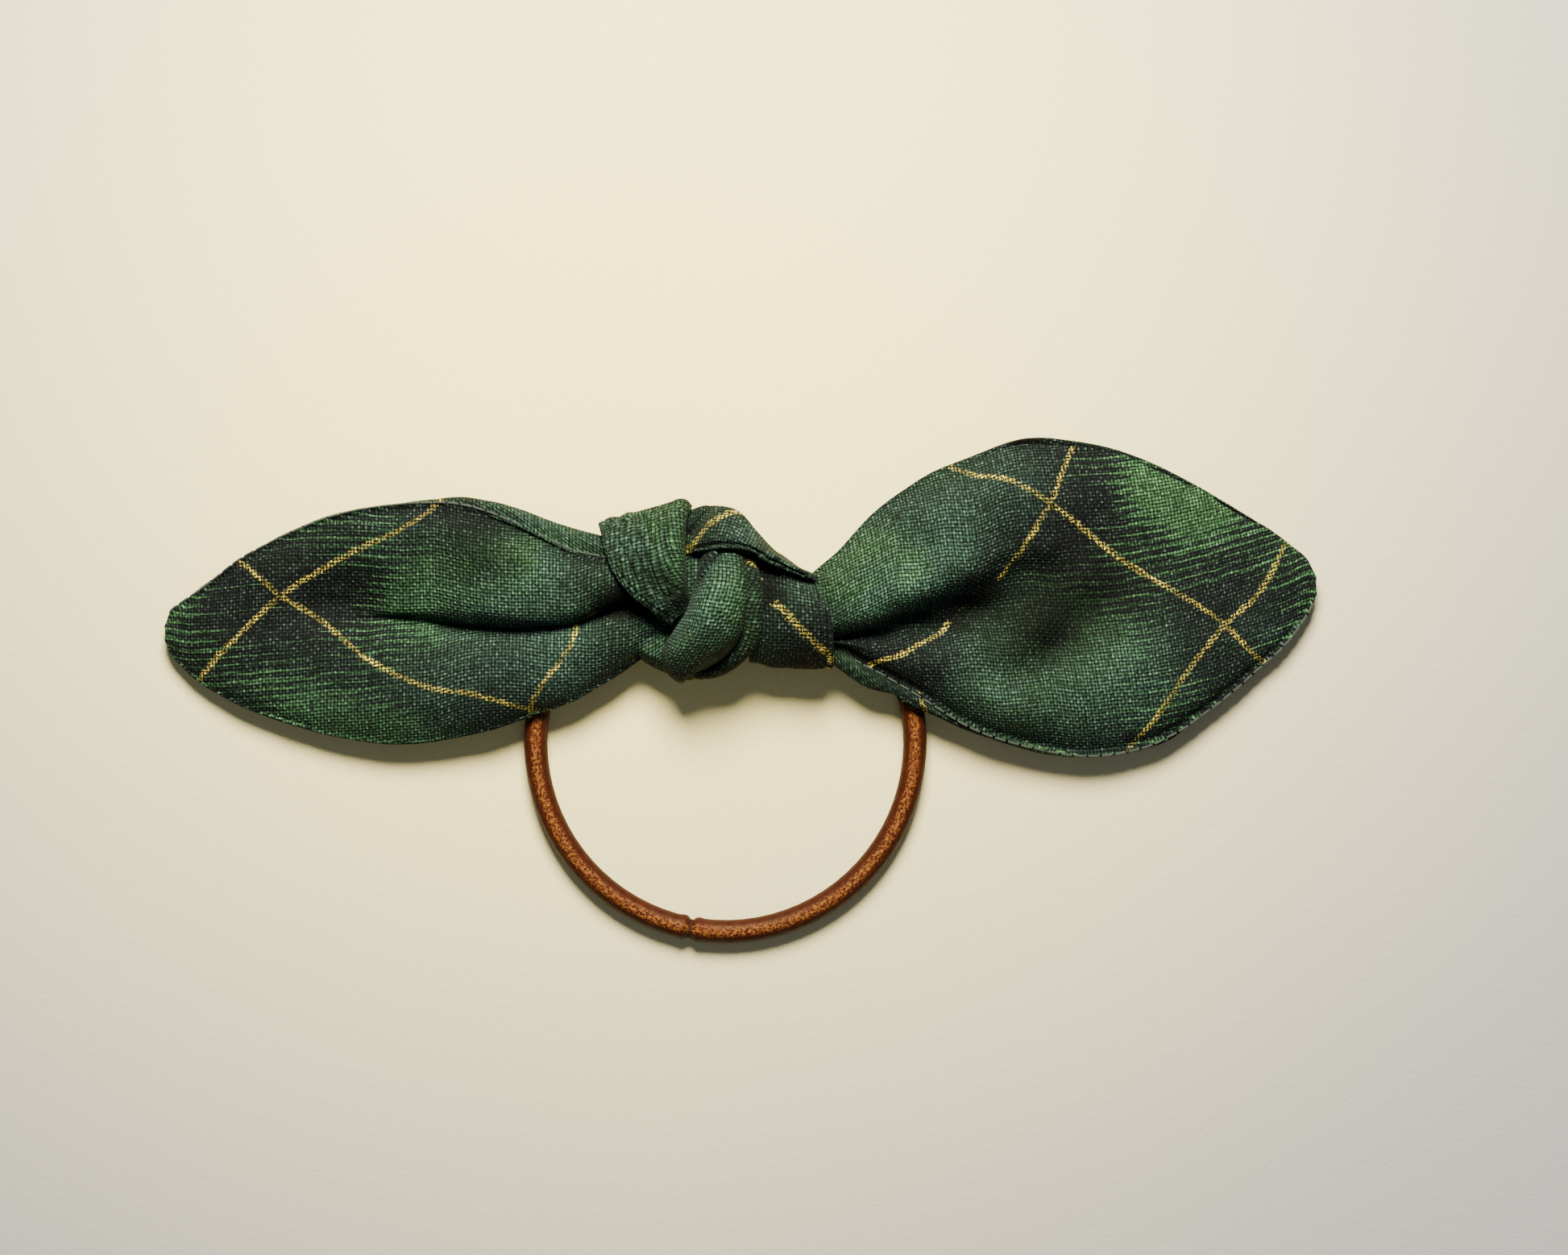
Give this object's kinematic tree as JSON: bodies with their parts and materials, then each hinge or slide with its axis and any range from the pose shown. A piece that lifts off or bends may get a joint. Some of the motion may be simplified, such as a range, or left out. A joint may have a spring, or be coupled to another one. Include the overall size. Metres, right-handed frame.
{
  "type": "hair bow",
  "caption": "Plaid cotton strip with leaf-shaped ends, tied in a knot round a thin elastic hair tie to make a flat hair bow",
  "frame": {"origin": "on the flat underside of the knot, under the middle of the bow's knot", "axes": "+X to the bow's right tail, +Y to its top, away from the elastic loop, +Z out of its face; it lies on its back at z = 0"},
  "size_m": [0.1437, 0.0619, 0.0142],
  "materials": {
    "plaid_cotton": "plain-weave cotton in dark green plaid with printed gold lines",
    "green_thread": "matte sewing thread",
    "braided_sleeve": "satin braided sleeve, copper brown",
    "latex_core": "natural latex",
    "glued_joint": "hardened adhesive, dark brown"
  },
  "bodies": {
    "knot": {"knot_inner_turn": "plaid_cotton", "knot_back_band": "plaid_cotton", "knot_left_fold": "plaid_cotton", "knot_right_collar": "plaid_cotton", "knot_centre_band": "plaid_cotton", "knot_top_fold": "plaid_cotton", "left_neck": "plaid_cotton", "right_neck": "plaid_cotton"},
    "left_tail": {"left_tail_front_panel": "plaid_cotton", "left_tail_back_panel": "plaid_cotton", "left_tail_seam_allowance": "plaid_cotton", "left_tail_seam_thread": "green_thread"},
    "right_tail": {"right_tail_front_panel": "plaid_cotton", "right_tail_back_panel": "plaid_cotton", "right_tail_seam_allowance": "plaid_cotton", "right_tail_seam_thread": "green_thread"},
    "hair_tie": {"elastic_sleeve": "braided_sleeve", "elastic_core": "latex_core", "elastic_bond": "glued_joint"}
  },
  "joints": [
    {"name": "left_tail_flex", "type": "hinge", "parent": "knot", "child": "left_tail", "pos_m": [-0.01765, 0, 0.00638], "axis": [0, 1, 0], "range_deg": [0, 70], "stiffness_Nm_per_rad": 0.0002},
    {"name": "right_tail_flex", "type": "hinge", "parent": "knot", "child": "right_tail", "pos_m": [0.01482, 0, 0.00648], "axis": [0, -1, 0], "range_deg": [0, 70], "stiffness_Nm_per_rad": 0.0002},
    {"name": "hair_tie_swing", "type": "hinge", "parent": "knot", "child": "hair_tie", "pos_m": [0, 0.0016, 0.00255], "axis": [1, 0, 0], "range_deg": [0, 160]}
  ]
}
